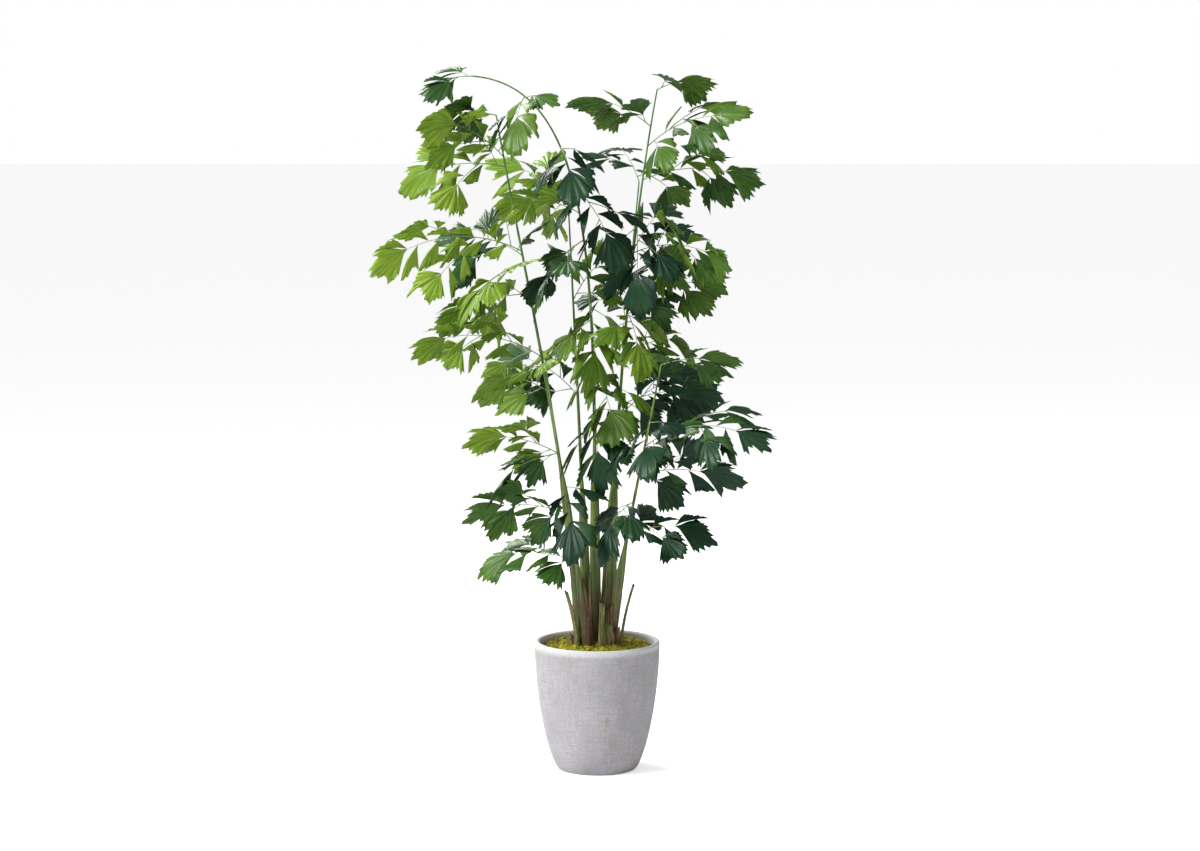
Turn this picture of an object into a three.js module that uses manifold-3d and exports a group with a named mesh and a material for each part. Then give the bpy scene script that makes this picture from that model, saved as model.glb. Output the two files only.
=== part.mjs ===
// Potted fishtail palm: a clump of seven canes in a tapered round pot, each cane carrying sprays of
// wedge-shaped leaflets. Millimetres, +Z up, front towards -Y, origin at the centre of the pot's foot.
import * as THREE from "three";
import { mergeVertices } from "three/addons/utils/BufferGeometryUtils.js";
import Module from "manifold-3d";

const wasm = await Module();
wasm.setup();

// ---------------------------------------------------------------- driving dimensions

const CLEARANCE = 0.3; // between pieces that touch
const LAYER_GAP = 1.8; // between the many-sided fillings and the pot's many-sided wall

const POT = {
  height: 396,
  rimRadius: 192,
  footRadius: 118,
  wall: 17,
  floor: 20,
  flare: 1.8, // how soon the wall turns upright
  belly: 0.7, // how round the lower wall is
  sides: 36,
};

const SOIL = { top: 362, sides: 32 };
const MOSS = { edge: 378, crown: 398, sides: 32 };

const CANE = {
  foot: 260, // height of the buried lower end
  ringRadius: 43, // six canes stand on this ring around the seventh
  footRadius: 19,
  sheathRadius: 12, // at the top of the leaf sheath
  stalkRadius: 5.5, // of the bare stalk above the sheath
  tipRadius: 2.2,
  mouth: 80, // half the height over which the sheath gives way to the stalk
  sides: 7,
  steps: 13,
};

const STUB = { foot: 325, distance: 72, halfWidth: 11, halfThickness: 5, sides: 8, steps: 4 };

const SPRAY = {
  thickness: 1.6,
  stalkWidth: 3.6, // of the spray's own stalk
  droop: 0.15, // degrees that it bends down for each millimetre along it
  bareStalk: 36, // from the root to the first leaflet, at least
  spacing: 34, // between leaflets, which stand to each side in turn
  leafletLength: [82, 108], // at the root and at the fan
  leafletAngle: 54, // from the stalk to the middle of a leaflet
  leafletSpread: 15, // to each side of that
  fanSpread: 34,
  sagRadius: 170, // of the curve in which leaflets hang down beside the stalk
  long: 315, // reach from which a spray has all of its branches, not only the first two
  smallest: 0.3, // edges shorter than this, where a branch joins its stalk, are merged away
};

// A spray's branches: how far along they leave it, their share of its reach, and how they turn and roll.
const BRANCHES = [
  { at: 0.22, reach: 0.62, turn: 46, roll: -12 },
  { at: 0.06, reach: 0.48, turn: -64, roll: 10 },
  { at: 0.44, reach: 0.42, turn: -50, roll: 16 },
];
const BRANCH_PLANE = 0.8; // share of a stalk's roll by which its branches leave the level
const BRANCH_FAN = 106;
const MAIN_FAN = 132; // length of the fan at the end of a spray

// ---------------------------------------------------------------- the plant

// Each cane is a Bezier curve: the heading of its foot on the ring, its two handles and its tip, and the
// height at which its sheath ends. Each spray is [height on the cane, heading, rise, reach, roll]: its
// heading is counter-clockwise from +X, its rise above level and its roll about its own stalk, in degrees.
// A spray at the height of its cane's tip carries on from it.
const CANES = [
  {
    name: "left",
    ring: 190,
    curve: [[-60, -15, 825], [-220, -60, 1525], [-300, -70, 1995]],
    sheathTop: 885,
    sprays: [
      [1590, 187, 27, 480, 55],
      [1270, 192, 34, 430, 50],
      [1165, 175, 28, 310, -50],
      [975, 188, 30, 290, 50],
      [1550, 238, -12, 320, 30],
      [1575, 168, 28, 330, -55],
      [1460, 205, 0, 300, 45],
      [1840, 182, 14, 330, -60],
      [1870, 176, 32, 320, 50],
      [1995, 188, 12, 230, 35],
    ],
  },
  {
    name: "middle",
    ring: null,
    curve: [[-30, 10, 1175], [80, 20, 2075], [-370, -40, 2110]],
    sheathTop: 925,
    sprays: [
      [1120, 250, -25, 320, 30],
      [1240, 290, -25, 320, 20],
      [1430, 300, -30, 320, -20],
      [1620, 228, -20, 320, 30],
      [1700, 184, 24, 310, 50],
      [1780, 320, -30, 320, 30],
      [1900, 282, -14, 280, 15],
      [2110, 184, 0, 180, -30],
      [2050, 232, -30, 280, 30],
    ],
  },
  {
    name: "right",
    ring: 10,
    curve: [[35, 10, 875], [90, 20, 1575], [180, 0, 2070]],
    sheathTop: 865,
    sprays: [
      [1115, 352, 28, 320, -66],
      [1275, 6, 24, 290, 45],
      [1400, 250, -30, 310, -30],
      [1440, 350, 28, 330, 60],
      [1580, 4, 22, 390, -60],
      [1700, 300, -25, 320, 30],
      [1800, 356, 24, 380, -45],
      [1900, 8, 34, 370, 40],
      [1960, 172, 40, 260, 35],
      [2070, 0, 26, 190, -35],
    ],
  },
  {
    name: "front_right",
    ring: 310,
    curve: [[60, -60, 625], [120, -110, 875], [190, -190, 1260]],
    sheathTop: 665,
    sprays: [
      [740, 350, 20, 270, 45],
      [840, 240, -10, 270, 20],
      [920, 352, 18, 310, -60],
      [1010, 357, 36, 455, 30],
      [1090, 290, -25, 300, 20],
      [1260, 335, 20, 250, -40],
    ],
  },
  {
    name: "front_left",
    ring: 250,
    curve: [[-40, -60, 585], [-100, -110, 845], [-150, -190, 1245]],
    sheathTop: 605,
    sprays: [
      [655, 187, 20, 310, -25],
      [800, 180, 22, 320, 50],
      [900, 280, -25, 290, 20],
      [990, 205, -5, 280, 40],
      [1245, 215, 5, 280, 40],
    ],
  },
  {
    name: "back_left",
    ring: 130,
    curve: [[-40, 90, 825], [-70, 200, 1325], [-90, 300, 1725]],
    sheathTop: 825,
    sprays: [
      [1130, 150, 45, 330, -40],
      [1420, 60, 50, 320, 30],
      [1725, 160, 45, 300, -40],
    ],
  },
  {
    name: "back_right",
    ring: 70,
    curve: [[40, 90, 825], [90, 210, 1375], [130, 280, 1785]],
    sheathTop: 845,
    sprays: [
      [1060, 30, 45, 330, 40],
      [1350, 130, 50, 320, -30],
      [1560, 60, 50, 300, 30],
      [1785, 110, 45, 300, 0],
    ],
  },
];

// Old leaf stalks, cut short: [name, heading from the pot's axis, top height, how far out the top is].
const STUBS = [
  ["stub_left", 220, 560, 122],
  ["stub_right", 340, 575, 118],
  ["stub_front", 280, 525, 90],
];

// How far a spray may be moved along its cane, raised and turned from its plan to clear its neighbours.
const HEIGHT_SHIFTS = [0, 25, -25, 50, -50];
const HEADING_TURNS = [0, 6, -6, 12, -12, 18, -18, 24, -24, 30, -30, 40, -40];
const RISE_TURNS = [0, 6, -6, 12, -12, 18, -18];

// ---------------------------------------------------------------- solids

const { degToRad: radians, radToDeg: degrees, lerp, smoothstep } = THREE.MathUtils;

function toSolid(geometry) {
  const bare = geometry.clone();
  bare.deleteAttribute("normal");
  bare.deleteAttribute("uv");
  const merged = mergeVertices(bare, 1e-4);
  return new wasm.Manifold(
    new wasm.Mesh({
      numProp: 3,
      vertProperties: new Float32Array(merged.attributes.position.array),
      triVerts: new Uint32Array(merged.index.array),
    }),
  );
}

function toGeometry(solid) {
  const { vertProperties, triVerts } = solid.getMesh();
  const geometry = new THREE.BufferGeometry();
  geometry.setAttribute("position", new THREE.BufferAttribute(vertProperties, 3));
  geometry.setIndex(new THREE.BufferAttribute(triVerts, 1));
  geometry.computeVertexNormals();
  return geometry;
}

// Moves every vertex of a geometry to where place(x, y, z) says.
function reshape(geometry, place) {
  const at = geometry.attributes.position;
  const point = new THREE.Vector3();
  for (let i = 0; i < at.count; i++) {
    point.copy(place(at.getX(i), at.getY(i), at.getZ(i)));
    at.setXYZ(i, point.x, point.y, point.z);
  }
  return geometry;
}

// A closed tube around a curve. sizeAt(centre) gives its half sizes along the level and across it.
function tube(curve, sizeAt, sides, steps) {
  return reshape(new THREE.CylinderGeometry(1, 1, 1, sides, steps), (x, y, z) => {
    const t = y + 0.5;
    const centre = curve.getPoint(t);
    const along = curve.getTangent(t);
    const out = new THREE.Vector3(0, 1, 0).cross(along).normalize();
    const across = along.clone().cross(out);
    const [width, thickness] = sizeAt(centre);
    return centre.addScaledVector(out, x * width).addScaledVector(across, -z * thickness);
  });
}

function lathe(profile, sides) {
  const points = profile.map(([radius, height]) => new THREE.Vector2(radius, height));
  return new THREE.LatheGeometry(points, sides).rotateX(Math.PI / 2);
}

// ---------------------------------------------------------------- pot, soil and moss

function potRadius(height) {
  const rise = 1 - (1 - height / POT.height) ** POT.flare;
  return lerp(POT.footRadius, POT.rimRadius, rise ** POT.belly);
}

const innerRadius = (height) => potRadius(height) - POT.wall;

function makePot() {
  const outer = [0.012, 0.04, 0.09, 0.17, 0.28, 0.42, 0.6, 0.8, 0.965].map((share) => {
    const height = share * POT.height;
    return [potRadius(height), height];
  });
  const lipRadius = POT.wall / 2;
  const lip = [0, 45, 90, 135, 180].map((degrees) => [
    POT.rimRadius - lipRadius + lipRadius * Math.cos(radians(degrees)),
    POT.height - lipRadius + lipRadius * Math.sin(radians(degrees)),
  ]);
  const inner = [0.75, 0.5, 0.3, 0.15].map((share) => {
    const height = share * POT.height;
    return [innerRadius(height), height];
  });
  const well = [[innerRadius(POT.floor), POT.floor], [0, POT.floor]];
  return lathe([[0, 0], [POT.footRadius - 3, 0], ...outer, ...lip, ...inner, ...well], POT.sides);
}

// A layer that fills the inside of the pot between two heights, under a top that is domed up to crown.
function makeLayer(low, edge, crown, sides) {
  const wall = [0, 0.2, 0.5, 1].map((share) => {
    const height = lerp(low, edge, share);
    return [innerRadius(height) - LAYER_GAP, height];
  });
  const rim = wall[wall.length - 1][0];
  const dome = [0.8, 0.5, 0].map((share) => [rim * share, lerp(crown, edge, share ** 2)]);
  return lathe([[0, low], ...wall, ...dome], sides);
}

// ---------------------------------------------------------------- canes and stubs

function caneCurve(cane) {
  const distance = cane.ring === null ? 0 : CANE.ringRadius;
  const angle = radians(cane.ring ?? 0);
  const foot = new THREE.Vector3(distance * Math.cos(angle), distance * Math.sin(angle), CANE.foot);
  return new THREE.CubicBezierCurve3(foot, ...cane.curve.map((point) => new THREE.Vector3(...point)));
}

function caneRadius(cane, height) {
  const tip = cane.curve[2][2];
  const sheath = lerp(CANE.footRadius, CANE.sheathRadius, (height - CANE.foot) / (cane.sheathTop - CANE.foot));
  const stalk = lerp(CANE.stalkRadius, CANE.tipRadius, (height - cane.sheathTop) / (tip - cane.sheathTop));
  const bare = smoothstep(height, cane.sheathTop - CANE.mouth, cane.sheathTop + CANE.mouth);
  return lerp(Math.max(sheath, CANE.sheathRadius), Math.min(stalk, CANE.stalkRadius), bare);
}

function makeCane(cane, extra = 0) {
  const sizeAt = (centre) => Array(2).fill(caneRadius(cane, centre.z) + extra);
  return tube(caneCurve(cane), sizeAt, CANE.sides, CANE.steps);
}

function makeStub([, heading, top, distance], extra = 0) {
  const points = [
    [STUB.distance, STUB.foot],
    [STUB.distance + 4, (STUB.foot + top) / 2],
    [distance, top],
  ].map(([out, height]) => new THREE.Vector3(out, 0, height));
  const sizeAt = () => [STUB.halfThickness + extra, STUB.halfWidth + extra];
  return tube(new THREE.QuadraticBezierCurve3(...points), sizeAt, STUB.sides, STUB.steps)
    .rotateZ(radians(heading));
}

// ---------------------------------------------------------------- sprays

// A number from 0 to 1 that is always the same for the same leaflet.
const vary = (a, b) => Math.abs(Math.sin(a * 12.9898 + b * 78.233) * 43758.5453) % 1;

// The point a length away from another, in a direction counted from +X.
function polar(x, y, length, degrees) {
  return [x + length * Math.cos(radians(degrees)), y + length * Math.sin(radians(degrees))];
}

// The corners of one leaflet, from the near side of its root around to the far side.
function leafletPoints(root, side, share, seed) {
  const half = (side * SPRAY.stalkWidth) / 2;
  const length = lerp(...SPRAY.leafletLength, share) * (0.92 + 0.16 * vary(seed, 1));
  const middle = SPRAY.leafletAngle + 6 * (vary(seed, 2) - 0.5);
  return [
    [root - 2, half],
    polar(root, 0, 0.8 * length, side * (middle + SPRAY.leafletSpread)),
    polar(root, 0, length, side * (middle - SPRAY.leafletSpread)),
    [root + 2, half],
  ];
}

// The flat outline of a stalk with its leaflets, along +X: out along one side, around the fan and back.
function stalkOutline(reach, fanLength, seed) {
  const half = SPRAY.stalkWidth / 2;
  const last = reach - fanLength;
  const count = Math.floor((last - SPRAY.bareStalk) / SPRAY.spacing) + 1;
  const left = [];
  const right = [];
  for (let i = 0; i < count; i++) {
    const root = last - (count - 1 - i) * SPRAY.spacing;
    const side = (seed + i) % 2 ? 1 : -1;
    const corners = leafletPoints(root, side, i / count, seed + i);
    if (side > 0) left.unshift(...corners.reverse());
    else right.push(...corners);
  }
  const fan = [-1, -0.5, 0, 0.55, 1].map((share) => {
    return polar(last, 0, fanLength * (1 - 0.14 * Math.abs(share)), SPRAY.fanSpread * share);
  });
  const points = [[0, -half], ...right, ...fan, ...left, [0, half]];
  return new THREE.Shape(points.map(([x, y]) => new THREE.Vector2(x, y)));
}

// Where a flat point of a spray goes when its stalk rises at an angle, bends down and rolls.
function bentPoint(x, y, z, rise, roll) {
  const bend = radians(SPRAY.droop);
  const slope = radians(rise) - bend * x;
  const along = (Math.sin(radians(rise)) - Math.sin(slope)) / bend;
  const up = (Math.cos(slope) - Math.cos(radians(rise))) / bend;
  const across = y * Math.cos(radians(roll)) - z * Math.sin(radians(roll));
  const lift = y * Math.sin(radians(roll)) + z * Math.cos(radians(roll));
  const sag = (y * y) / (2 * SPRAY.sagRadius);
  return new THREE.Vector3(along - lift * Math.sin(slope), across, up + lift * Math.cos(slope) - sag);
}

function makeStalk(root, heading, rise, reach, roll, fanLength, seed) {
  const flat = new THREE.ExtrudeGeometry(stalkOutline(reach, fanLength, seed), {
    depth: SPRAY.thickness,
    bevelEnabled: false,
  });
  const bent = reshape(flat, (x, y, z) => bentPoint(x, y, z - SPRAY.thickness / 2, rise, roll));
  return toSolid(bent.rotateZ(radians(heading)).translate(root.x, root.y, root.z));
}

// The curve parameter at which a cane reaches a height.
function parameterAt(curve, height) {
  let [low, high] = [0, 1];
  for (let i = 0; i < 30; i++) {
    const middle = (low + high) / 2;
    if (curve.getPoint(middle).z < height) low = middle;
    else high = middle;
  }
  return high;
}

// Where a spray starts, just clear of its cane.
function sprayRoot(cane, height, heading, rise) {
  const curve = caneCurve(cane);
  const t = parameterAt(curve, height);
  const level = Math.cos(radians(rise));
  const out = new THREE.Vector3(level * Math.cos(heading), level * Math.sin(heading), Math.sin(radians(rise)));
  const apart = Math.max(Math.sin(out.angleTo(curve.getTangent(t))), 0.25);
  const atTip = height === cane.curve[2][2];
  const start = atTip ? CANE.tipRadius + 1.5 : caneRadius(cane, height) / apart + 2.5;
  return curve.getPoint(t).addScaledVector(out, start);
}

// The heading and rise of a branch that turns away from its stalk in the plane of the rolled leaflets.
function branchCourse(heading, slope, roll, turn) {
  const ahead = Math.cos(radians(turn));
  const aside = Math.sin(radians(turn)) * Math.cos(radians(roll));
  const lift = Math.sin(radians(turn)) * Math.sin(radians(roll));
  const level = ahead * Math.cos(radians(slope)) - lift * Math.sin(radians(slope));
  const up = ahead * Math.sin(radians(slope)) + lift * Math.cos(radians(slope));
  return [heading + degrees(Math.atan2(aside, level)), degrees(Math.asin(up))];
}

// A spray is a stalk with branches, which leave it on either side.
function makeSpray(cane, [height, heading, rise, reach, roll], seed) {
  const root = sprayRoot(cane, height, radians(heading), rise);
  const stalk = makeStalk(root, heading, rise, reach, roll, MAIN_FAN, seed);
  const side = seed % 2 ? 1 : -1;
  const branches = BRANCHES.slice(0, reach < SPRAY.long ? 2 : BRANCHES.length);
  const whole = branches.reduce((spray, branch, i) => {
    const fork = bentPoint(branch.at * reach, 0, 0, rise, roll);
    fork.applyAxisAngle(new THREE.Vector3(0, 0, 1), radians(heading)).add(root);
    const slope = rise - SPRAY.droop * branch.at * reach;
    const length = Math.max(branch.reach * reach, BRANCH_FAN + SPRAY.bareStalk);
    const course = branchCourse(heading, slope, BRANCH_PLANE * roll, side * branch.turn);
    const rolled = roll + side * branch.roll;
    return spray.add(makeStalk(fork, ...course, length, rolled, BRANCH_FAN, seed + 7 * (i + 1)));
  }, stalk);
  return whole.simplify(SPRAY.smallest);
}

// ---------------------------------------------------------------- assembly

const COLOURS = {
  pot: [0xb9b6ba, 0.85],
  soil: [0x3b2a1e, 0.95],
  moss: [0x7c7a2c, 0.95],
  cane: [0x6d8a3c, 0.6],
  stub: [0x8a6a48, 0.8],
  spray: [0x5f8f35, 0.45],
};

const plant = new THREE.Group();
plant.name = "potted_fishtail_palm";

function addPiece(name, geometry, kind) {
  const [color, roughness] = COLOURS[kind];
  const material = new THREE.MeshStandardMaterial({ color, roughness, metalness: 0 });
  const mesh = new THREE.Mesh(geometry, material);
  mesh.name = name;
  plant.add(mesh);
}

addPiece("pot", toGeometry(toSolid(makePot())), "pot");

const sunken = [
  ...CANES.map((cane) => toSolid(makeCane(cane, CLEARANCE))),
  ...STUBS.map((stub) => toSolid(makeStub(stub, CLEARANCE))),
];
const cutAway = (geometry) => sunken.reduce((rest, solid) => rest.subtract(solid), toSolid(geometry));
const soilFoot = POT.floor + CLEARANCE;
addPiece("soil", toGeometry(cutAway(makeLayer(soilFoot, SOIL.top, SOIL.top, SOIL.sides))), "soil");
const mossFoot = SOIL.top + CLEARANCE;
addPiece("moss", toGeometry(cutAway(makeLayer(mossFoot, MOSS.edge, MOSS.crown, MOSS.sides))), "moss");

const placed = [];
for (const cane of CANES) {
  const solid = toSolid(makeCane(cane));
  placed.push(solid);
  addPiece(`cane_${cane.name}`, toGeometry(solid), "cane");
}
for (const stub of STUBS) {
  const solid = toSolid(makeStub(stub));
  placed.push(solid);
  addPiece(stub[0], toGeometry(solid), "stub");
}

function* nearbyPlans([height, heading, rise, ...rest], tip) {
  for (const shift of height === tip ? [0] : HEIGHT_SHIFTS) {
    for (const raised of RISE_TURNS) {
      for (const turned of HEADING_TURNS) yield [height + shift, heading + turned, rise + raised, ...rest];
    }
  }
}

// Whether a spray's surface is one closed skin, so that its branches shut no hollow in between them.
const isOneSkin = (solid) => solid.decompose().length === 1;

// The spray of the first nearby plan that leaves it clear of everything placed so far.
function clearSpray(cane, plan, seed) {
  for (const nearby of nearbyPlans(plan, cane.curve[2][2])) {
    const solid = makeSpray(cane, nearby, seed);
    if (isOneSkin(solid) && placed.every((other) => solid.intersect(other).isEmpty())) return solid;
  }
  throw new Error(`no clear place for a spray of ${cane.name} at ${plan[0]}`);
}

CANES.forEach((cane, c) => {
  cane.sprays.forEach((plan, s) => {
    const solid = clearSpray(cane, plan, 20 * c + 3 * s);
    placed.push(solid);
    addPiece(`spray_${cane.name}_${s + 1}`, toGeometry(solid), "spray");
  });
});

export default plant;
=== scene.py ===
import math
import random

import bmesh
import bpy
from mathutils import Matrix, Vector, kdtree, noise


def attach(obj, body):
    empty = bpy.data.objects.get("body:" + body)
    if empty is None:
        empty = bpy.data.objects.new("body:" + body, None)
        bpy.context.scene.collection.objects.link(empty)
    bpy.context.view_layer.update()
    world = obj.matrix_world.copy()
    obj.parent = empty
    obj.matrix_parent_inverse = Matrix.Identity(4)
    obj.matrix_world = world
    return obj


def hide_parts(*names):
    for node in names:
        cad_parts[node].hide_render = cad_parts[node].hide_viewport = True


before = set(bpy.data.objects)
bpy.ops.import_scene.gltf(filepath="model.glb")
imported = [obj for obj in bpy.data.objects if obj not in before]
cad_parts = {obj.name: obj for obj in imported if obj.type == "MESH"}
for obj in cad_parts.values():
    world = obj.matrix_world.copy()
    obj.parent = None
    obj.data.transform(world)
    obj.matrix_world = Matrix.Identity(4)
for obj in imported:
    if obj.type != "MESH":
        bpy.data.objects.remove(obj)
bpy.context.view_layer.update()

mm = 0.001
random.seed(7)


def report(stage):
    print(f"[palm] {stage}")


# camera, first of all

cameraSettings = {
    "place": (0.009, -9.0, 2.124),
    "aim": (0.009, 0.0, 1.057),
    "lens": 89.6,
}


def makeCamera(settings):
    camera = bpy.data.objects.new("camera", bpy.data.cameras.new("camera"))
    bpy.context.scene.collection.objects.link(camera)
    camera.data.lens = settings["lens"]
    camera.location = settings["place"]
    look = Vector(settings["aim"]) - Vector(settings["place"])
    camera.rotation_euler = look.to_track_quat("-Z", "Y").to_euler()
    bpy.context.scene.camera = camera


makeCamera(cameraSettings)
report("camera placed")


# helpers for meshes

def finishMesh(name, bm, material, node=None):
    mesh = bpy.data.meshes.new(name)
    for face in bm.faces:
        face.smooth = True
    bm.to_mesh(mesh)
    bm.free()
    mesh.materials.append(material)
    piece = bpy.data.objects.new(name, mesh)
    bpy.context.scene.collection.objects.link(piece)
    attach(piece, "root")
    if node:
        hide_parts(node)


def shapeGrid(bm, across, along, place):
    # a grid of the given size, every vertex moved to where place(u, v) says
    made = bmesh.ops.create_grid(bm, x_segments=across, y_segments=along, size=0.5, calc_uvs=True)
    for vert in made["verts"]:
        vert.co = place(vert.co.x + 0.5, vert.co.y + 0.5)
    return made["verts"]


def shapeTube(bm, sides, rings, centreAt, radiusAt):
    # a grid rolled up round a path, closed at its seam and drawn to a point at both ends
    def place(u, v):
        ring = min(max((v * (rings + 2) - 1) / rings, 0), 1)
        centre, along = centreAt(ring)
        closed = 0 if v in (0, 1) else radiusAt(ring, u)
        out = along.cross(Vector((0.31, 0.93, 0.19))).normalized()
        turned = Matrix.Rotation(2 * math.pi * u, 3, along) @ out
        return centre + turned * closed
    verts = shapeGrid(bm, sides, rings + 2, place)
    bmesh.ops.remove_doubles(bm, verts=verts, dist=1e-6)


def vary(a, b):
    # always the same number from 0 to 1 for the same pair
    return abs(math.sin(a * 12.9898 + b * 78.233) * 43758.5453) % 1


def mix(low, high, share):
    return low + (high - low) * share


def smoothStep(value, low, high):
    share = min(max((value - low) / (high - low), 0), 1)
    return share * share * (3 - 2 * share)


# helpers for materials

def newMaterial(name):
    material = bpy.data.materials.new(name)
    material.use_nodes = True
    nodes = material.node_tree.nodes
    return material, nodes, material.node_tree.links, nodes["Principled BSDF"]


def addNode(nodes, kind, values=(), **settings):
    node = nodes.new(kind)
    for key, value in settings.items():
        setattr(node, key, value)
    for key, value in dict(values).items():
        node.inputs[key].default_value = value
    return node


def addMath(nodes, links, operation, first, second):
    node = addNode(nodes, "ShaderNodeMath", operation=operation)
    for socket, value in zip(node.inputs, (first, second)):
        if isinstance(value, (int, float)):
            socket.default_value = value
        else:
            links.new(value, socket)
    return node.outputs[0]


def addMix(nodes, links, factor, first, second, blend="MIX"):
    node = addNode(nodes, "ShaderNodeMix", data_type="RGBA", blend_type=blend)
    for socket, value in ((node.inputs[0], factor), (node.inputs[6], first), (node.inputs[7], second)):
        if isinstance(value, (int, float, tuple)):
            socket.default_value = value
        else:
            links.new(value, socket)
    return node.outputs[2]


def addRamp(nodes, links, source, stops):
    node = nodes.new("ShaderNodeValToRGB")
    ramp = node.color_ramp
    while len(ramp.elements) < len(stops):
        ramp.elements.new(0.5)
    for element, (place, colour) in zip(ramp.elements, stops):
        element.position = place
        element.color = (*colour, 1)
    links.new(source, node.inputs[0])
    return node.outputs[0]


def makeMottleGroup():
    # uneven tint and fine grain, shared by every finish here
    group = bpy.data.node_groups.new("mottle", "ShaderNodeTree")
    for name, kind, value in (
        ("Vector", "NodeSocketVector", None),
        ("Scale", "NodeSocketFloat", 8.0),
        ("Grain Scale", "NodeSocketFloat", 90.0),
        ("Contrast", "NodeSocketFloat", 1.0),
    ):
        socket = group.interface.new_socket(name, in_out="INPUT", socket_type=kind)
        if value is not None:
            socket.default_value = value
    for name in ("Patches", "Grain"):
        group.interface.new_socket(name, in_out="OUTPUT", socket_type="NodeSocketFloat")
    nodes, links = group.nodes, group.links
    start, end = nodes.new("NodeGroupInput"), nodes.new("NodeGroupOutput")
    for name, scaleName, detail in (("Patches", "Scale", 3.0), ("Grain", "Grain Scale", 5.0)):
        cloud = addNode(nodes, "ShaderNodeTexNoise", {"Detail": detail, "Roughness": 0.6})
        links.new(start.outputs["Vector"], cloud.inputs["Vector"])
        links.new(start.outputs[scaleName], cloud.inputs["Scale"])
        centred = addMath(nodes, links, "SUBTRACT", cloud.outputs[0], 0.5)
        spread = addMath(nodes, links, "MULTIPLY", centred, start.outputs["Contrast"])
        links.new(addMath(nodes, links, "ADD", spread, 0.5), end.inputs[name])
    return group


mottleGroup = makeMottleGroup()


def addMottle(nodes, links, scale, grainScale, contrast=1.0, vector=None):
    node = nodes.new("ShaderNodeGroup")
    node.node_tree = mottleGroup
    if vector is None:
        vector = nodes.new("ShaderNodeTexCoord").outputs["Object"]
    links.new(vector, node.inputs["Vector"])
    node.inputs["Scale"].default_value = scale
    node.inputs["Grain Scale"].default_value = grainScale
    node.inputs["Contrast"].default_value = contrast
    return node.outputs["Patches"], node.outputs["Grain"]


def addBump(nodes, links, bsdf, height, strength, distance):
    bump = addNode(nodes, "ShaderNodeBump", {"Strength": strength, "Distance": distance})
    links.new(height, bump.inputs["Height"])
    links.new(bump.outputs[0], bsdf.inputs["Normal"])


# pot

pot = {
    "height": 0.396,
    "rim": 0.192,
    "foot": 0.118,
    "wall": 0.017,
    "floor": 0.020,
    "flare": 1.8,
    "belly": 0.7,
    "steps": 96,
}


def potRadius(height):
    rise = 1 - (1 - height / pot["height"]) ** pot["flare"]
    return mix(pot["foot"], pot["rim"], rise ** pot["belly"])


def potProfile():
    top, lip = pot["height"], pot["wall"] / 2
    shares = [0.002, 0.006, 0.014, 0.028] + [0.05 + 0.0457 * i for i in range(21)]
    points = [(0, 0), (pot["foot"] - 0.004, 0), (pot["foot"] - 0.001, 0.0006)]
    points += [(potRadius(share * top), share * top) for share in shares if share * top < top - lip]
    for i in range(13):
        turn = math.pi * i / 12
        points.append((pot["rim"] - lip + lip * math.cos(turn), top - lip + lip * math.sin(turn)))
    for share in (0.9, 0.75, 0.6, 0.45, 0.3, 0.2, 0.12, 0.07):
        points.append((potRadius(share * top) - pot["wall"], share * top))
    return points + [(potRadius(pot["floor"]) - pot["wall"] - 0.004, pot["floor"]), (0, pot["floor"])]


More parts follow.
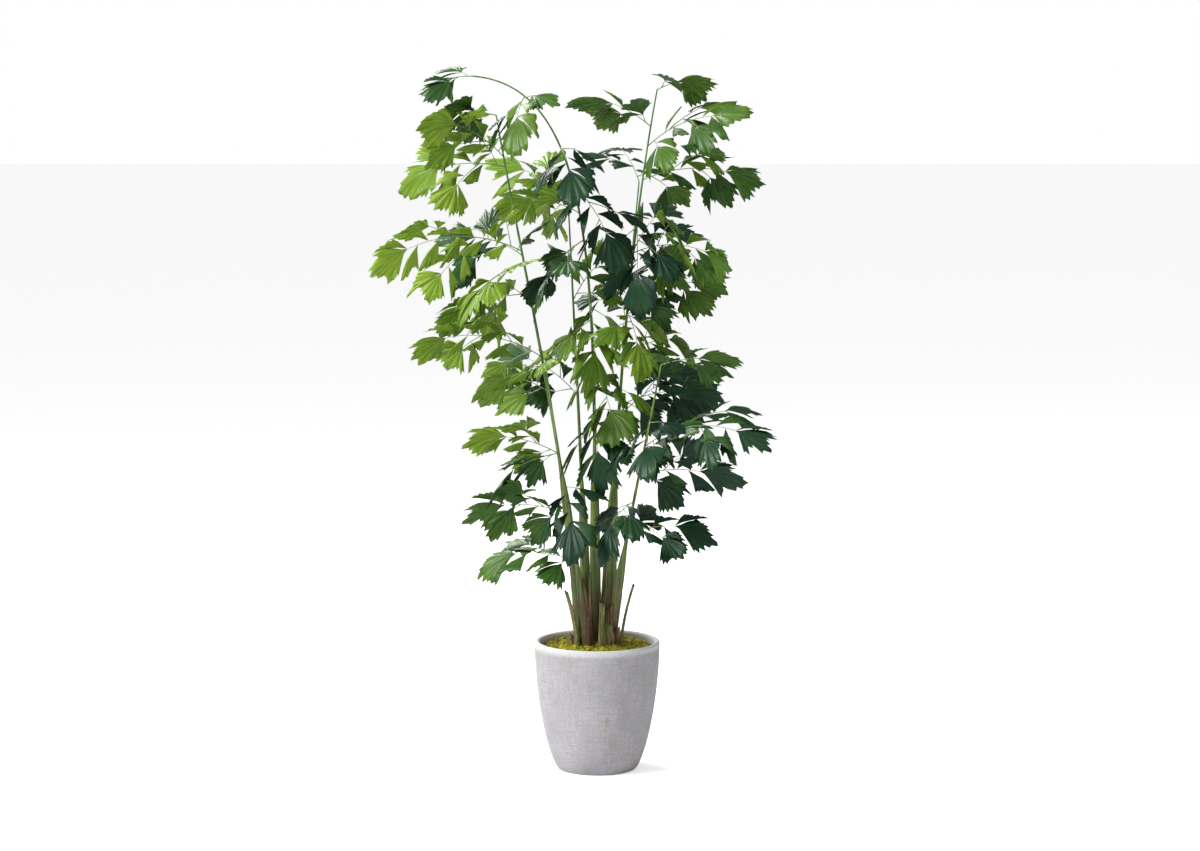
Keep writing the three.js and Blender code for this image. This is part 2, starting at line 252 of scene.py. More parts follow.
def makePotMaterial():
    material, nodes, links, bsdf = newMaterial("pot_cast_stone")
    place = nodes.new("ShaderNodeTexCoord").outputs["Object"]
    split = nodes.new("ShaderNodeSeparateXYZ")
    links.new(place, split.inputs[0])
    back = addMath(nodes, links, "MULTIPLY", split.outputs["Y"], -1)
    angle = addMath(nodes, links, "ARCTAN2", split.outputs["X"], back)
    around = addMath(nodes, links, "MULTIPLY", angle, pot["rim"])
    patches, grain = addMottle(nodes, links, 9, 160, 1.6)
    scratches = []
    for stretch in ((1, 0.07), (0.07, 1)):
        flat = nodes.new("ShaderNodeCombineXYZ")
        links.new(addMath(nodes, links, "MULTIPLY", around, stretch[0]), flat.inputs[0])
        links.new(addMath(nodes, links, "MULTIPLY", split.outputs["Z"], stretch[1]), flat.inputs[1])
        lines = addNode(nodes, "ShaderNodeTexNoise", {"Scale": 190, "Detail": 5, "Roughness": 0.75})
        links.new(flat.outputs[0], lines.inputs["Vector"])
        scratches.append(addRamp(nodes, links, lines.outputs[0], [(0.5, (0, 0, 0)), (0.6, (1, 1, 1))]))
    weave = addMath(nodes, links, "MAXIMUM", scratches[0], scratches[1])
    worn = addRamp(nodes, links, patches, [(0.35, (0.25, 0.25, 0.25)), (0.75, (1, 1, 1))])
    marks = addMath(nodes, links, "MULTIPLY", weave, worn)
    lip = addRamp(nodes, links, split.outputs["Z"], [
        (0.0, (1, 1, 1)), (0.372, (1, 1, 1)), (0.384, (0, 0, 0)),
    ])
    marks = addMath(nodes, links, "MULTIPLY", marks, lip)
    base = addRamp(nodes, links, patches, [
        (0.15, (0.34, 0.33, 0.31)), (0.42, (0.40, 0.39, 0.42)),
        (0.62, (0.45, 0.44, 0.48)), (0.9, (0.43, 0.40, 0.34)),
    ])
    base = addMix(nodes, links, lip, (0.60, 0.59, 0.60, 1), base)
    stain = addMath(nodes, links, "MULTIPLY", marks, 0.6)
    tinted = addMix(nodes, links, stain, base, (0.25, 0.22, 0.18, 1))
    speckle = addRamp(nodes, links, grain, [(0.3, (0.8, 0.8, 0.8)), (0.55, (1, 1, 1))])
    links.new(addMix(nodes, links, 0.6, tinted, speckle, "MULTIPLY"), bsdf.inputs["Base Color"])
    rough = addRamp(nodes, links, grain, [(0.2, (0.95, 0.95, 0.95)), (0.8, (0.7, 0.7, 0.7))])
    links.new(rough, bsdf.inputs["Roughness"])
    height = addMath(nodes, links, "SUBTRACT", addMath(nodes, links, "MULTIPLY", grain, 0.4), marks)
    addBump(nodes, links, bsdf, height, 0.35, 0.0012)
    return material


def makePot():
    bm = bmesh.new()
    verts = [bm.verts.new((radius, 0, height)) for radius, height in potProfile()]
    edges = [bm.edges.new(pair) for pair in zip(verts, verts[1:])]
    bmesh.ops.spin(
        bm, geom=verts + edges, cent=(0, 0, 0), axis=(0, 0, 1), dvec=(0, 0, 0),
        angle=2 * math.pi, steps=pot["steps"], use_merge=True, use_duplicate=False,
    )
    bmesh.ops.remove_doubles(bm, verts=bm.verts[:], dist=1e-6)
    bmesh.ops.recalc_face_normals(bm, faces=bm.faces[:])
    finishMesh("pot_body", bm, makePotMaterial(), "pot")


makePot()
report("pot made")


# soil and moss

moss = {
    "edge": 0.378,
    "crown": 0.398,
    "foot": 0.3623,
    "gap": 0.0015,
    "rings": 44,
    "spokes": 110,
    "bump": 0.007,
    "tufts": 900,
    "domeShare": 0.94, # of the grid, the rest of it closing the bed underneath
}


def makeSoilMaterial():
    material, nodes, links, bsdf = newMaterial("potting_mix")
    patches, grain = addMottle(nodes, links, 30, 220, 1.5)
    colour = addRamp(nodes, links, grain, [(0.3, (0.02, 0.012, 0.008)), (0.7, (0.09, 0.055, 0.03))])
    links.new(colour, bsdf.inputs["Base Color"])
    bsdf.inputs["Roughness"].default_value = 0.95
    addBump(nodes, links, bsdf, patches, 0.8, 0.004)
    return material


def makeMossMaterial():
    material, nodes, links, bsdf = newMaterial("dried_moss")
    patches, grain = addMottle(nodes, links, 34, 420, 1.7)
    green = addRamp(nodes, links, patches, [
        (0.2, (0.16, 0.11, 0.02)), (0.4, (0.27, 0.25, 0.02)),
        (0.62, (0.44, 0.42, 0.035)), (0.85, (0.58, 0.53, 0.09)),
    ])
    dark = addRamp(nodes, links, grain, [(0.3, (0.25, 0.2, 0.15)), (0.5, (1, 1, 1))])
    links.new(addMix(nodes, links, 0.85, green, dark, "MULTIPLY"), bsdf.inputs["Base Color"])
    bsdf.inputs["Roughness"].default_value = 0.95
    bsdf.inputs["Specular IOR Level"].default_value = 0.15
    addBump(nodes, links, bsdf, grain, 0.9, 0.003)
    return material


def mossHeight(x, y):
    rim = potRadius(moss["edge"]) - pot["wall"] - moss["gap"]
    share = min(math.hypot(x, y) / rim, 1)
    clumps = noise.noise(Vector((x, y, 0.3)) * 38) + 0.5 * noise.noise(Vector((x, y, 0.7)) * 90)
    lift = moss["bump"] * clumps * (1 - 0.6 * smoothStep(share, 0.9, 1))
    return mix(moss["crown"], moss["edge"], share ** 2) - 0.006 + lift


def makeMoss():
    rim = potRadius(moss["edge"]) - pot["wall"] - moss["gap"]
    bm = bmesh.new()

    def place(u, v):
        # out over the dome, down at the wall, then in under the bed to its centre
        turn = 2 * math.pi * u
        out = min(v / moss["domeShare"], 1) * rim
        sink = max(v - moss["domeShare"], 0) / (1 - moss["domeShare"])
        if sink > 0.75:
            return Vector((0, 0, moss["foot"]))
        x, y = out * math.cos(turn), out * math.sin(turn)
        return Vector((x, y, mix(mossHeight(x, y), moss["foot"], min(2 * sink, 1))))

    shapeGrid(bm, moss["spokes"], moss["rings"], place)
    bmesh.ops.remove_doubles(bm, verts=bm.verts[:], dist=1e-6)
    bmesh.ops.recalc_face_normals(bm, faces=bm.faces[:])
    for i in range(moss["tufts"]):
        turn, out = 2 * math.pi * random.random(), rim * 0.97 * math.sqrt(random.random())
        x, y = out * math.cos(turn), out * math.sin(turn)
        size = random.uniform(0.003, 0.0075)
        tuft = bmesh.ops.create_icosphere(bm, subdivisions=1, radius=size)
        for vert in tuft["verts"]:
            stretch = 1 + 0.45 * noise.noise(vert.co * 300 + Vector((i, 0, 0)))
            vert.co = Vector((x, y, mossHeight(x, y) - 0.1 * size)) + vert.co * stretch
    finishMesh("moss_bed", bm, makeMossMaterial(), "moss")


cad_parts["soil"].data.materials.clear()
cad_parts["soil"].data.materials.append(makeSoilMaterial())
makeMoss()
report("soil and moss made")


# canes: ring heading, two handles and tip in millimetres, and the height of the sheath's top

canes = {
    "foot": 260,
    "ring": 43,
    "footRadius": 19,
    "sheathRadius": 12,
    "stalkRadius": 5.5,
    "tipRadius": 2.2,
    "mouth": 80,
    "sides": 14,
    "rings": 70,
    "ribs": 7,
    "lap": 190, # height between the edges of lapped sheaths
    "knots": 96, # height between the knots of the bare stalk
}

caneShapes = {
    "left": (190, (-60, -15, 825), (-220, -60, 1525), (-300, -70, 1995), 885),
    "middle": (None, (-30, 10, 1175), (80, 20, 2075), (-370, -40, 2110), 925),
    "right": (10, (35, 10, 875), (90, 20, 1575), (180, 0, 2070), 865),
    "front_right": (310, (60, -60, 625), (120, -110, 875), (190, -190, 1260), 665),
    "front_left": (250, (-40, -60, 585), (-100, -110, 845), (-150, -190, 1245), 605),
    "back_left": (130, (-40, 90, 825), (-70, 200, 1325), (-90, 300, 1725), 825),
    "back_right": (70, (40, 90, 825), (90, 210, 1375), (130, 280, 1785), 845),
}


def canePoints(name):
    ring, first, second, tip, _ = caneShapes[name]
    distance = 0 if ring is None else canes["ring"]
    turn = math.radians(ring or 0)
    foot = Vector((distance * math.cos(turn), distance * math.sin(turn), canes["foot"]))
    return foot, Vector(first), Vector(second), Vector(tip)


def caneAt(name, t):
    # point and direction of the cane's Bezier curve
    a, b, c, d = canePoints(name)
    s = 1 - t
    point = a * s ** 3 + b * 3 * s * s * t + c * 3 * s * t * t + d * t ** 3
    along = (b - a) * s * s + (c - b) * 2 * s * t + (d - c) * t * t
    return point, along.normalized()


def caneRadius(name, height):
    tip, sheathTop = caneShapes[name][3][2], caneShapes[name][4]
    risen = (height - canes["foot"]) / (sheathTop - canes["foot"])
    sheath = mix(canes["footRadius"], canes["sheathRadius"], risen)
    stalk = mix(canes["stalkRadius"], canes["tipRadius"], (height - sheathTop) / (tip - sheathTop))
    bare = smoothStep(height, sheathTop - canes["mouth"], sheathTop + canes["mouth"])
    return mix(max(sheath, canes["sheathRadius"]), min(stalk, canes["stalkRadius"]), bare)


def parameterAt(name, height):
    low, high = 0, 1
    for _ in range(30):
        middle = (low + high) / 2
        if caneAt(name, middle)[0].z < height:
            low = middle
        else:
            high = middle
    return high


def makeCaneMaterial():
    material, nodes, links, bsdf = newMaterial("green_cane")
    place = nodes.new("ShaderNodeTexCoord").outputs["Object"]
    split = nodes.new("ShaderNodeSeparateXYZ")
    links.new(place, split.inputs[0])
    stretch = addNode(nodes, "ShaderNodeMapping", {"Scale": (1, 1, 0.045)})
    links.new(place, stretch.inputs[0])
    streaks, fibre = addMottle(nodes, links, 110, 420, 1.6, stretch.outputs[0])
    patches, _ = addMottle(nodes, links, 14, 160, 1.4)
    uneven = addMath(nodes, links, "MULTIPLY", addMath(nodes, links, "SUBTRACT", patches, 0.5), 0.35)
    height = addMath(nodes, links, "ADD", split.outputs["Z"], uneven)
    body = addRamp(nodes, links, addMath(nodes, links, "MULTIPLY", height, 0.5), [
        (0.17, (0.085, 0.045, 0.02)), (0.25, (0.12, 0.10, 0.03)), (0.31, (0.10, 0.15, 0.035)),
        (0.44, (0.19, 0.26, 0.055)), (0.62, (0.11, 0.22, 0.045)), (1.0, (0.08, 0.20, 0.045)),
    ])
    light = addRamp(nodes, links, streaks, [(0.3, (0.5, 0.5, 0.45)), (0.7, (1.25, 1.25, 1.1))])
    links.new(addMix(nodes, links, 1.0, body, light, "MULTIPLY"), bsdf.inputs["Base Color"])
    rough = addRamp(nodes, links, fibre, [(0.3, (0.4, 0.4, 0.4)), (0.7, (0.65, 0.65, 0.65))])
    links.new(rough, bsdf.inputs["Roughness"])
    addBump(nodes, links, bsdf, addMath(nodes, links, "ADD", streaks, fibre), 0.5, 0.0012)
    return material


def makeCane(name, material):
    sheathTop = caneShapes[name][4]
    seed = len(name) + sheathTop
    bm = bmesh.new()

    def centreAt(t):
        point, along = caneAt(name, t ** 0.9)
        return point * mm, along

    def radiusAt(t, u):
        height = caneAt(name, t ** 0.9)[0].z
        radius = caneRadius(name, height)
        sheathed = 1 - smoothStep(height, sheathTop - 40, sheathTop + 60)
        ribs = 0.05 * math.cos(2 * math.pi * canes["ribs"] * u) * sheathed
        lapped = 0.09 * (((height + 160 * u + 37 * seed) % canes["lap"]) / canes["lap"]) * sheathed
        knot = 0.14 * max(0, math.cos(2 * math.pi * height / canes["knots"])) ** 24 * (1 - sheathed)
        return radius * (1 + ribs + lapped + knot) * mm

    shapeTube(bm, canes["sides"], canes["rings"], centreAt, radiusAt)
    bmesh.ops.recalc_face_normals(bm, faces=bm.faces[:])
    finishMesh(f"cane_{name}_stem", bm, material, f"cane_{name}")


caneMaterial = makeCaneMaterial()
for caneName in caneShapes:
    makeCane(caneName, caneMaterial)
report("canes made")


# cut stalks and husks at the foot of the clump

stubs = {
    "foot": 325,
    "distance": 72,
    "halfWidth": 11,
    "halfThickness": 5,
    "plan": {"stub_left": (220, 560, 122), "stub_right": (340, 575, 118), "stub_front": (280, 525, 90)},
}

husks = {
    "count": 63,
    "low": 372,
    "thickness": 0.0016,
    "across": 10,
    "along": 12,
}


def makeHuskMaterial(name, stops):
    material, nodes, links, bsdf = newMaterial(name)
    stretch = addNode(nodes, "ShaderNodeMapping", {"Scale": (1, 1, 0.06)})
    links.new(nodes.new("ShaderNodeTexCoord").outputs["Object"], stretch.inputs[0])
    streaks, fibre = addMottle(nodes, links, 140, 700, 2.0, stretch.outputs[0])
    both = addMath(nodes, links, "MULTIPLY", addMath(nodes, links, "ADD", streaks, fibre), 0.5)
    links.new(addRamp(nodes, links, both, stops), bsdf.inputs["Base Color"])
    bsdf.inputs["Roughness"].default_value = 0.85
    addBump(nodes, links, bsdf, fibre, 0.9, 0.0015)
    return material


def makeStub(name, material):
    heading, top, distance = stubs["plan"][name]
    turn = Matrix.Rotation(math.radians(heading), 3, "Z")
    a = Vector((stubs["distance"], 0, stubs["foot"]))
    b = Vector((stubs["distance"] + 4, 0, (stubs["foot"] + top) / 2))
    c = Vector((distance, 0, top))
    bm = bmesh.new()

    def place(u, v):
        t = min(max((v * 16 - 1) / 14, 0), 1)
        centre = a * (1 - t) ** 2 + b * 2 * t * (1 - t) + c * t * t
        along = ((b - a) * (1 - t) + (c - b) * t).normalized()
        out = Vector((0, 1, 0)).cross(along)
        angle = 2 * math.pi * u
        size = 0 if v in (0, 1) else 1 - 0.25 * t
        hollow = 1 - 0.35 * max(0, -math.cos(angle))
        ragged = 9 * (vary(round(u * 12), 3) - 0.5) * (1 if v > 0.9 else 0)
        offset = out * stubs["halfThickness"] * math.cos(angle) * hollow
        offset += Vector((0, 1, 0)) * stubs["halfWidth"] * math.sin(angle)
        return turn @ ((centre + offset * size + along * ragged) * mm)

    verts = shapeGrid(bm, 12, 16, place)
    bmesh.ops.remove_doubles(bm, verts=verts, dist=1e-6)
    bmesh.ops.recalc_face_normals(bm, faces=bm.faces[:])
    finishMesh(f"{name}_stalk", bm, material, name)


def makeHusk(index, bm):
    # a strip of torn sheath lapped round one cane
    name = list(caneShapes)[index % len(caneShapes)]
    layer = index // len(caneShapes)
    low = husks["low"] + 10 * vary(index, 1)
    top = mix(440, 620, vary(index, 2)) - 30 * layer
    facing = 2 * math.pi * (vary(index, 3) + 0.13 * index)
    width = mix(0.6, 1.7, vary(index, 4))
    flare = mix(0.02, 0.45, vary(index, 5) ** 2)
    start, end = parameterAt(name, low), parameterAt(name, top)

    def place(u, v):
        height = v * (1 - 0.2 * vary(index + 0.1, round(u * husks["across"])))
        centre, along = caneAt(name, mix(start, end, height))
        radius = caneRadius(name, centre.z) * 1.1 + 1.5 + 1.3 * layer
        radius *= 1 + flare * height ** 2.5
        angle = facing + width * (1 - 0.65 * height ** 1.5) * (2 * u - 1)
        out = Vector((math.cos(angle), math.sin(angle), 0))
        return (centre + out * radius) * mm

    shapeGrid(bm, husks["across"], husks["along"], place)


def makeHusks(material, name, indices):
    bm = bmesh.new()
    for index in indices:
        makeHusk(index, bm)
    bmesh.ops.recalc_face_normals(bm, faces=bm.faces[:])
    bmesh.ops.solidify(bm, geom=bm.faces[:], thickness=husks["thickness"])
    finishMesh(name, bm, material)


brownHusk = makeHuskMaterial("brown_husk", [
    (0.3, (0.025, 0.012, 0.007)), (0.5, (0.13, 0.06, 0.032)), (0.7, (0.36, 0.19, 0.12)),
])
greenHusk = makeHuskMaterial("green_husk", [
    (0.3, (0.05, 0.06, 0.015)), (0.5, (0.16, 0.18, 0.045)), (0.72, (0.42, 0.33, 0.16)),
])
for stubName in stubs["plan"]:
    makeStub(stubName, greenHusk)
makeHusks(brownHusk, "husks_brown", range(0, husks["count"], 2))
makeHusks(greenHusk, "husks_green", range(1, husks["count"], 2))
report("husks and cut stalks made")


# sprays: height on the cane, heading, rise, reach and roll, then the tone of the leaves with painted light
# and shade, from 0 for the darkest blue-green to 1 for the lightest yellow-green: partly the leaves' own
# greens, partly painted light on the sprays at the upper left and painted shade on those at the right, low
# down and inside the clump

sprays = {
    "stalkRadius": 1.7,
    "droop": 0.15, # degrees for each millimetre
    "bareStalk": 36,
    "spacing": 34,
    "leafletLength": (84, 111),
    "leafletAngle": 54,
    "leafletSpread": 19,
    "mainFan": 134,
    "branchFan": 108,
    "fanExtra": 2, # by which these fans are longer than the frame's
    "fanSpread": 40,
    "sagRadius": 170,
    "long": 315, # reach from which a spray has all of its branches
    "branchPlane": 0.8, # share of a stalk's roll by which its branches leave the level
    "pleat": 2.1,
    "sheet": 0.0005,
}

branches = (
    {"at": 0.22, "reach": 0.62, "turn": 46, "roll": -12},
    {"at": 0.06, "reach": 0.48, "turn": -64, "roll": 10},
    {"at": 0.44, "reach": 0.42, "turn": -50, "roll": 16},
)

plan = {
    "left": (
        (1590, 187, 27, 480, 55, 0.95),
        (1270, 192, 34, 430, 50, 0.85),
        (1165, 175, 28, 310, -50, 0.85),
        (975, 188, 30, 290, 50, 0.9),
        (1550, 238, -12, 320, 30, 0.85),
        (1575, 168, 28, 330, -55, 0.35),
        (1460, 205, 0, 300, 45, 0.8),
        (1840, 182, 14, 330, -60, 0.9),
        (1870, 176, 32, 320, 50, 0.85),
        (1995, 188, 12, 230, 35, 0.4),
    ),
    "middle": (
        (1120, 250, -25, 320, 30, 0.3),
        (1240, 290, -25, 320, 20, 0.65),
        (1430, 300, -30, 320, -20, 0.7),
        (1620, 228, -20, 320, 30, 0.3),
        (1700, 184, 24, 310, 50, 0.85),
        (1780, 320, -30, 320, 30, 0.15),
        (1900, 282, -14, 280, 15, 0.2),
        (2110, 184, 0, 180, -30, 0.35),
        (2050, 232, -30, 280, 30, 0.5),
    ),
    "right": (
        (1115, 352, 28, 320, -66, 0.1),
        (1275, 6, 24, 290, 45, 0.55),
        (1400, 250, -30, 310, -30, 0.75),
        (1440, 350, 28, 330, 60, 0.5),
        (1580, 4, 22, 390, -60, 0.6),
        (1700, 300, -25, 320, 30, 0.12),
        (1800, 356, 24, 380, -45, 0.5),
        (1900, 8, 34, 370, 40, 0.5),
        (1960, 172, 40, 260, 35, 0.5),
        (2070, 0, 26, 190, -35, 0.5),
    ),
    "front_right": (
        (740, 350, 20, 270, 45, 0.1),
        (840, 240, -10, 270, 20, 0.15),
        (920, 352, 18, 310, -60, 0.15),
        (1010, 357, 36, 455, 30, 0.3),
        (1090, 290, -25, 300, 20, 0.12),
        (1260, 335, 20, 250, -40, 0.45),
    ),
    "front_left": (
        (655, 187, 20, 310, -25, 0.5),
        (800, 180, 22, 320, 50, 0.5),
        (900, 280, -25, 290, 20, 0.2),
        (990, 205, -5, 280, 40, 0.3),
        (1245, 215, 5, 280, 40, 0.75),
    ),
    "back_left": (
        (1130, 150, 45, 330, -40, 0.4),
        (1420, 60, 50, 320, 30, 0.6),
        (1725, 160, 45, 300, -40, 0.75),
    ),
    "back_right": (
        (1060, 30, 45, 330, 40, 0.15),
        (1350, 130, 50, 320, -30, 0.2),
        (1560, 60, 50, 300, 30, 0.15),
        (1785, 110, 45, 300, 0, 0.2),
    ),
}

heightShifts = (0, 25, -25, 50, -50)
riseTurns = (0, 6, -6, 12, -12, 18, -18)
headingTurns = (0, 6, -6, 12, -12, 18, -18, 24, -24, 30, -30, 40, -40)


def bentPoint(x, y, z, rise, roll):
    bend = math.radians(sprays["droop"])
    rise, roll = math.radians(rise), math.radians(roll)
    slope = rise - bend * x
    along = (math.sin(rise) - math.sin(slope)) / bend
    up = (math.cos(slope) - math.cos(rise)) / bend
    across = y * math.cos(roll) - z * math.sin(roll)
    lift = y * math.sin(roll) + z * math.cos(roll)
    sag = y * y / (2 * sprays["sagRadius"])
    return Vector((along - lift * math.sin(slope), across, up + lift * math.cos(slope) - sag))


def sprayRoot(name, height, heading, rise):
    t = parameterAt(name, height)
    point, along = caneAt(name, t)
    level = math.cos(math.radians(rise))
    turn = math.radians(heading)
    out = Vector((level * math.cos(turn), level * math.sin(turn), math.sin(math.radians(rise))))
    apart = max(math.sin(out.angle(along)), 0.25)
    atTip = height == caneShapes[name][3][2]
    start = canes["tipRadius"] + 1.5 if atTip else caneRadius(name, height) / apart + 2.5
    return point + out * start, out * start


def turnedBy(point, heading):
    return Matrix.Rotation(math.radians(heading), 3, "Z") @ point


def settledPlan(node, name, height, heading, rise, reach, roll):
    # which nearby heading, rise and height the frame's own spray was given
    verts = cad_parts[node].data.vertices
    near = kdtree.KDTree(len(verts))
    for vert in verts:
        near.insert(vert.co, vert.index)
    near.balance()
    shifts = (0,) if height == caneShapes[name][3][2] else heightShifts
    best = None
    for shift in shifts:
        for raised in riseTurns:
            for turned in headingTurns:
                trial = (height + shift, heading + turned, rise + raised)
                root = sprayRoot(name, *trial)[0]
                tip = root + turnedBy(bentPoint(reach, 0, 0, trial[2], roll), trial[1])
                miss = near.find(root * mm)[2] + near.find(tip * mm)[2]
                if best is None or miss < best[0] - 1e-6:
                    best = (miss, trial)
    return best


def leafletPlace(root, side, length, middle, spread, seed, fan=False):
    # shapes one leaflet in the flat spray: u runs from its near edge to its far edge, v outwards
    tilt = mix(-0.45, 0.45, vary(seed, 4)) * (0.4 if fan else 1)
    lift = mix(-0.25, 0.3, vary(seed, 5))
    tail = 0.16 if fan else mix(0.06, 0.28, vary(seed, 6))
    curl = mix(-0.0022, 0.0004, vary(seed, 8))

    def place(u, v):
        angle = middle - side * spread * (2 * u - 1)
        notch = 0.05 * (1 if round(u * 99) % 2 else -1) * (0.5 + vary(seed, round(u * 40)))
        cut, lobes = (0.16, 5) if fan else (0.08, 4)
        deep = cut * (vary(seed + 3, round(u * lobes)) > 0.6)
        if fan:
            reach = 0.97 - 0.24 * abs(2 * u - 1) ** 1.6 + tail * max(0, 1 - 7 * abs(u - 0.56))
        else:
            reach = 0.72 + 0.2 * u + tail * max(0, (u - 0.66) / 0.34) ** 1.5
        reach = length * (reach + (notch - deep) * smoothStep(v, 0.72, 1))
        distance = 1.5 + v * (reach - 1.5)
        narrow = 0.55 + 0.45 * smoothStep(v, 0, 0.45)
        turn = math.radians(middle + (angle - middle) * narrow)
        x, y = distance * math.cos(turn), distance * math.sin(turn)
        off = distance * math.sin(turn - math.radians(middle))
        ridge = sprays["pleat"] * math.cos(math.pi * round(u * 10)) * smoothStep(v, 0.05, 0.5)
        z = ridge + tilt * off + lift * distance + curl * distance * distance
        return x + root, side * 1.2 * (not fan) + y, z

    return place


def addLeaf(bm, toneAndShadeLayer, across, along, shape, settle, toneAndShade):
    verts = shapeGrid(bm, across, along, lambda u, v: settle(*shape(u, v)))
    for vert in verts:
        vert[toneAndShadeLayer] = toneAndShade


def makeStalk(leaves, stems, toneAndShadeLayer, root, heading, rise, reach, roll, fanLength, seed, toneAndShade, inset=0):
    def settle(x, y, z):
        return (root + turnedBy(bentPoint(x, y, z, rise, roll), heading)) * mm

    last = reach - (fanLength - sprays["fanExtra"])
    count = math.floor((last - sprays["bareStalk"]) / sprays["spacing"]) + 1
    for i in range(count):
        at = last - (count - 1 - i) * sprays["spacing"]
        side = 1 if (seed + i) % 2 else -1
        length = mix(*sprays["leafletLength"], i / count) * (0.92 + 0.16 * vary(seed + i, 1))
        middle = side * (sprays["leafletAngle"] + 14 * (vary(seed + i, 2) - 0.5))
        shape = leafletPlace(at, side, length, middle, sprays["leafletSpread"], seed + 0.37 * i + reach)
        addLeaf(leaves, toneAndShadeLayer, 10, 4, shape, settle, toneAndShade + 0.34 * (vary(seed + i, 9) - 0.5))
    shape = leafletPlace(last, 1, fanLength, 0, sprays["fanSpread"], seed + reach, fan=True)
    addLeaf(leaves, toneAndShadeLayer, 20, 6, shape, settle, toneAndShade + 0.2 * (vary(seed, 9) - 0.5))

    def centreAt(t):
        x = mix(-inset, last + 6, t)
        here, ahead = settle(x, 0, 0), settle(x + 1, 0, 0)
        return here, (ahead - here).normalized()

    def radiusAt(t, u):
        return mix(sprays["stalkRadius"], 0.8, t) * mm

    shapeTube(stems, 6, 9, centreAt, radiusAt)


def branchCourse(heading, slope, roll, turn):
    # heading and rise of a branch that turns away in the plane of the rolled leaflets
    slope, roll, turn = math.radians(slope), math.radians(roll), math.radians(turn)
    ahead, aside, lift = math.cos(turn), math.sin(turn) * math.cos(roll), math.sin(turn) * math.sin(roll)
    level = ahead * math.cos(slope) - lift * math.sin(slope)
    up = ahead * math.sin(slope) + lift * math.cos(slope)
    return heading + math.degrees(math.atan2(aside, level)), math.degrees(math.asin(up))


def makeSpray(name, index, entry, seed):
    height, heading, rise, reach, roll, toneAndShade = entry
    node = f"spray_{name}_{index}"
    miss, (height, heading, rise) = settledPlan(node, name, height, heading, rise, reach, roll)
    root, inward = sprayRoot(name, height, heading, rise)
    leaves, stems = bmesh.new(), bmesh.new()
    leaves.loops.layers.uv.new("UVMap")
    # each leaf's tone: its own green plus the painted light or painted shade of where its spray hangs
    toneAndShadeLayer = leaves.verts.layers.float.new("toneAndShade")
    makeStalk(
        leaves, stems, toneAndShadeLayer, root, heading, rise, reach, roll,
        sprays["mainFan"], seed, toneAndShade, inward.length,
    )
    side = 1 if seed % 2 else -1
    for i, branch in enumerate(branches[:2] if reach < sprays["long"] else branches):
        fork = root + turnedBy(bentPoint(branch["at"] * reach, 0, 0, rise, roll), heading)
        slope = rise - sprays["droop"] * branch["at"] * reach
        length = max(branch["reach"] * reach, sprays["branchFan"] - sprays["fanExtra"] + sprays["bareStalk"])
        course = branchCourse(heading, slope, sprays["branchPlane"] * roll, side * branch["turn"])
        rolled = roll + side * branch["roll"]
        makeStalk(
            leaves, stems, toneAndShadeLayer, fork, *course, length, rolled,
            sprays["branchFan"], seed + 7 * (i + 1), toneAndShade,
        )
    bmesh.ops.solidify(leaves, geom=leaves.faces[:], thickness=sprays["sheet"])
    bmesh.ops.recalc_face_normals(stems, faces=stems.faces[:])
    finishMesh(f"{node}_leaves", leaves, leafMaterial, node)
    finishMesh(f"{node}_stalks", stems, stalkMaterial)
    return miss


def makeLeafMaterial():
    material, nodes, links, bsdf = newMaterial("palm_leaflet")
    # the tone attribute carries painted light and shade as well as the leaves' own greens: high on sprays
    # painted as lit from the upper left, low on those painted as shaded
    toneAndShade = addNode(nodes, "ShaderNodeAttribute", attribute_name="toneAndShade").outputs["Fac"]
    patches, grain = addMottle(nodes, links, 22, 260, 1.2)
    shift = addMath(nodes, links, "MULTIPLY", addMath(nodes, links, "SUBTRACT", patches, 0.5), 0.22)
    colour = addRamp(nodes, links, addMath(nodes, links, "ADD", toneAndShade, shift), [
        (0.0, (0.010, 0.045, 0.026)), (0.22, (0.020, 0.078, 0.028)), (0.45, (0.060, 0.155, 0.024)),
        (0.65, (0.135, 0.26, 0.024)), (0.85, (0.23, 0.38, 0.034)), (1.0, (0.34, 0.50, 0.06)),
    ])
    flat = nodes.new("ShaderNodeUVMap")
    flat.uv_map = "UVMap"
    stretch = addNode(nodes, "ShaderNodeMapping", {"Scale": (1, 0.05, 1)})
    links.new(flat.outputs[0], stretch.inputs[0])
    veins = addNode(nodes, "ShaderNodeTexNoise", {"Scale": 34, "Detail": 3, "Roughness": 0.6})
    links.new(stretch.outputs[0], veins.inputs["Vector"])
    lines = addRamp(nodes, links, veins.outputs[0], [
        (0.35, (0.55, 0.58, 0.6)), (0.5, (1, 1, 1)), (0.66, (1.45, 1.4, 1.2)),
    ])
    colour = addMix(nodes, links, 0.9, colour, lines, "MULTIPLY")
    links.new(colour, bsdf.inputs["Base Color"])
    rough = addRamp(nodes, links, grain, [(0.25, (0.3, 0.3, 0.3)), (0.75, (0.46, 0.46, 0.46))])
    links.new(rough, bsdf.inputs["Roughness"])
    bsdf.inputs["Specular IOR Level"].default_value = 0.34
    height = addMath(nodes, links, "ADD", veins.outputs[0], addMath(nodes, links, "MULTIPLY", grain, 0.25))
    addBump(nodes, links, bsdf, height, 0.55, 0.0012)
    glow = nodes.new("ShaderNodeBsdfTranslucent")
    links.new(addMix(nodes, links, 1.0, colour, (1.0, 1.0, 0.45, 1), "MULTIPLY"), glow.inputs[0])
    blend = addNode(nodes, "ShaderNodeMixShader", {0: 0.36})
    links.new(bsdf.outputs[0], blend.inputs[1])
    links.new(glow.outputs[0], blend.inputs[2])
    links.new(blend.outputs[0], nodes["Material Output"].inputs[0])
    return material


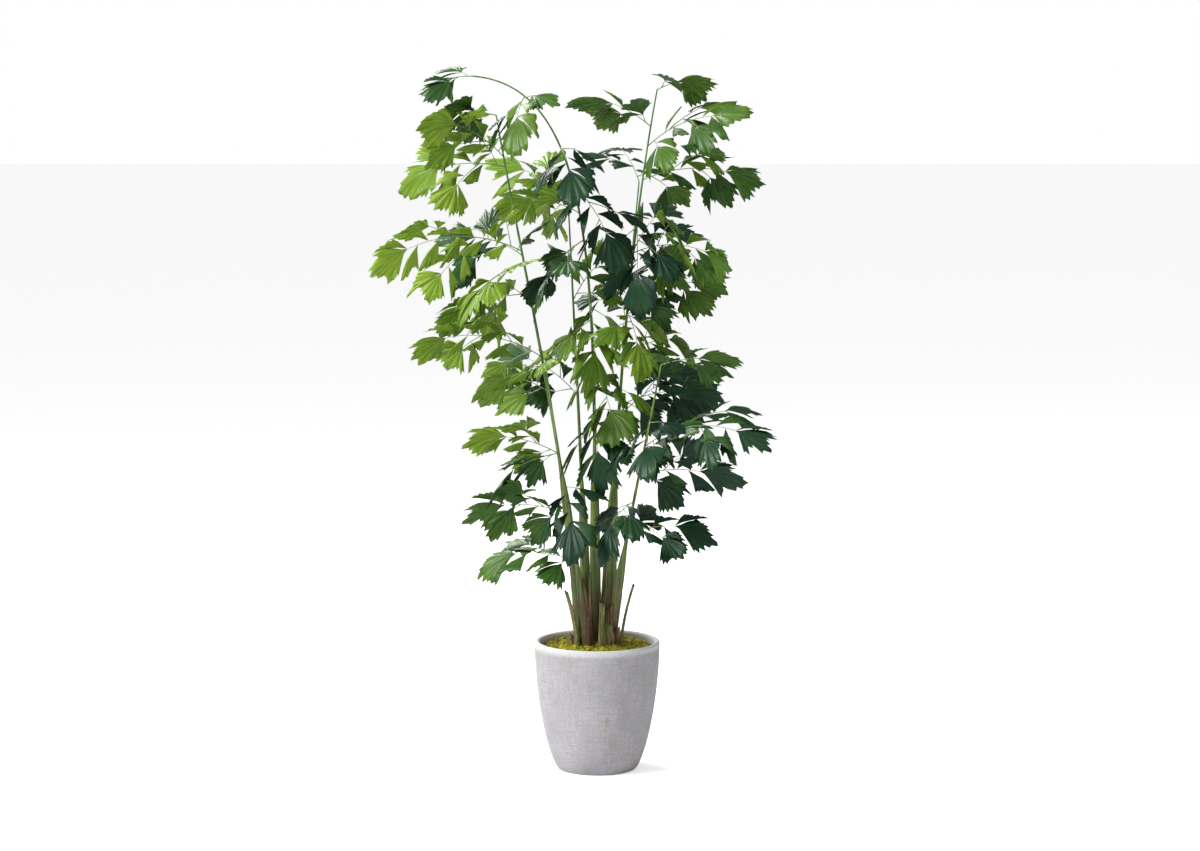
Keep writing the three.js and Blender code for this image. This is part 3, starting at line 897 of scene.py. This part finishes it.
def makeStalkMaterial():
    material, nodes, links, bsdf = newMaterial("leaf_stalk")
    patches, grain = addMottle(nodes, links, 30, 300, 1.4)
    colour = addRamp(nodes, links, patches, [(0.25, (0.09, 0.17, 0.035)), (0.75, (0.22, 0.33, 0.09))])
    links.new(colour, bsdf.inputs["Base Color"])
    bsdf.inputs["Roughness"].default_value = 0.5
    addBump(nodes, links, bsdf, grain, 0.4, 0.0006)
    return material


leafMaterial = makeLeafMaterial()
stalkMaterial = makeStalkMaterial()
worst = 0
for c, (caneName, entries) in enumerate(plan.items()):
    for s, entry in enumerate(entries):
        worst = max(worst, makeSpray(caneName, s + 1, entry, 20 * c + 3 * s))
    report(f"sprays of the {caneName} cane made")
report(f"farthest a spray is from its frame node: {1000 * worst:.1f} mm")


# floor and light

stage = {
    "floor": 60.0,
    "glow": 0.5, # keeps the far floor as pale as the backdrop
    "key": {"place": (-3.6, -2.6, 5.0), "size": 1.5, "power": 380},
    "back": {"place": (-2.6, 3.2, 4.2), "size": 2.0, "power": 280},
    "sky": 0.5, # what lights the plant
    "backdrop": 1.0, # what the camera sees
}


def makeFloor():
    bm = bmesh.new()
    bmesh.ops.create_grid(bm, x_segments=4, y_segments=4, size=stage["floor"])
    mesh = bpy.data.meshes.new("floor")
    bm.to_mesh(mesh)
    bm.free()
    material, nodes, links, bsdf = newMaterial("pale_floor")
    patches, _ = addMottle(nodes, links, 0.8, 30, 0.4)
    colour = addRamp(nodes, links, patches, [(0.2, (0.86, 0.86, 0.86)), (0.8, (0.88, 0.88, 0.88))])
    links.new(colour, bsdf.inputs["Base Color"])
    bsdf.inputs["Roughness"].default_value = 0.9
    bsdf.inputs["Emission Color"].default_value = (1, 1, 1, 1)
    seen = nodes.new("ShaderNodeLightPath").outputs["Is Camera Ray"]
    links.new(addMath(nodes, links, "MULTIPLY", seen, stage["glow"]), bsdf.inputs["Emission Strength"])
    mesh.materials.append(material)
    floor = bpy.data.objects.new("floor", mesh)
    bpy.context.scene.collection.objects.link(floor)


def makeLight(name, settings, aim=(0, 0, 1.1)):
    data = bpy.data.lights.new(name, "AREA")
    data.energy = settings["power"]
    data.size = settings["size"]
    light = bpy.data.objects.new(name, data)
    light.location = settings["place"]
    light.rotation_euler = (Vector(aim) - Vector(settings["place"])).to_track_quat("-Z", "Y").to_euler()
    bpy.context.scene.collection.objects.link(light)


def makeSky():
    world = bpy.data.worlds.new("studio")
    world.use_nodes = True
    nodes, links = world.node_tree.nodes, world.node_tree.links
    seen = nodes.new("ShaderNodeLightPath").outputs["Is Camera Ray"]
    extra = addMath(nodes, links, "MULTIPLY", seen, stage["backdrop"] - stage["sky"])
    nodes["Background"].inputs[0].default_value = (1, 1, 1, 1)
    links.new(addMath(nodes, links, "ADD", extra, stage["sky"]), nodes["Background"].inputs[1])
    bpy.context.scene.world = world


makeFloor()
for lightName in ("key", "back"):
    makeLight(lightName, stage[lightName])
makeSky()
bpy.context.scene.view_settings.view_transform = "Standard"
report("floor and light made")
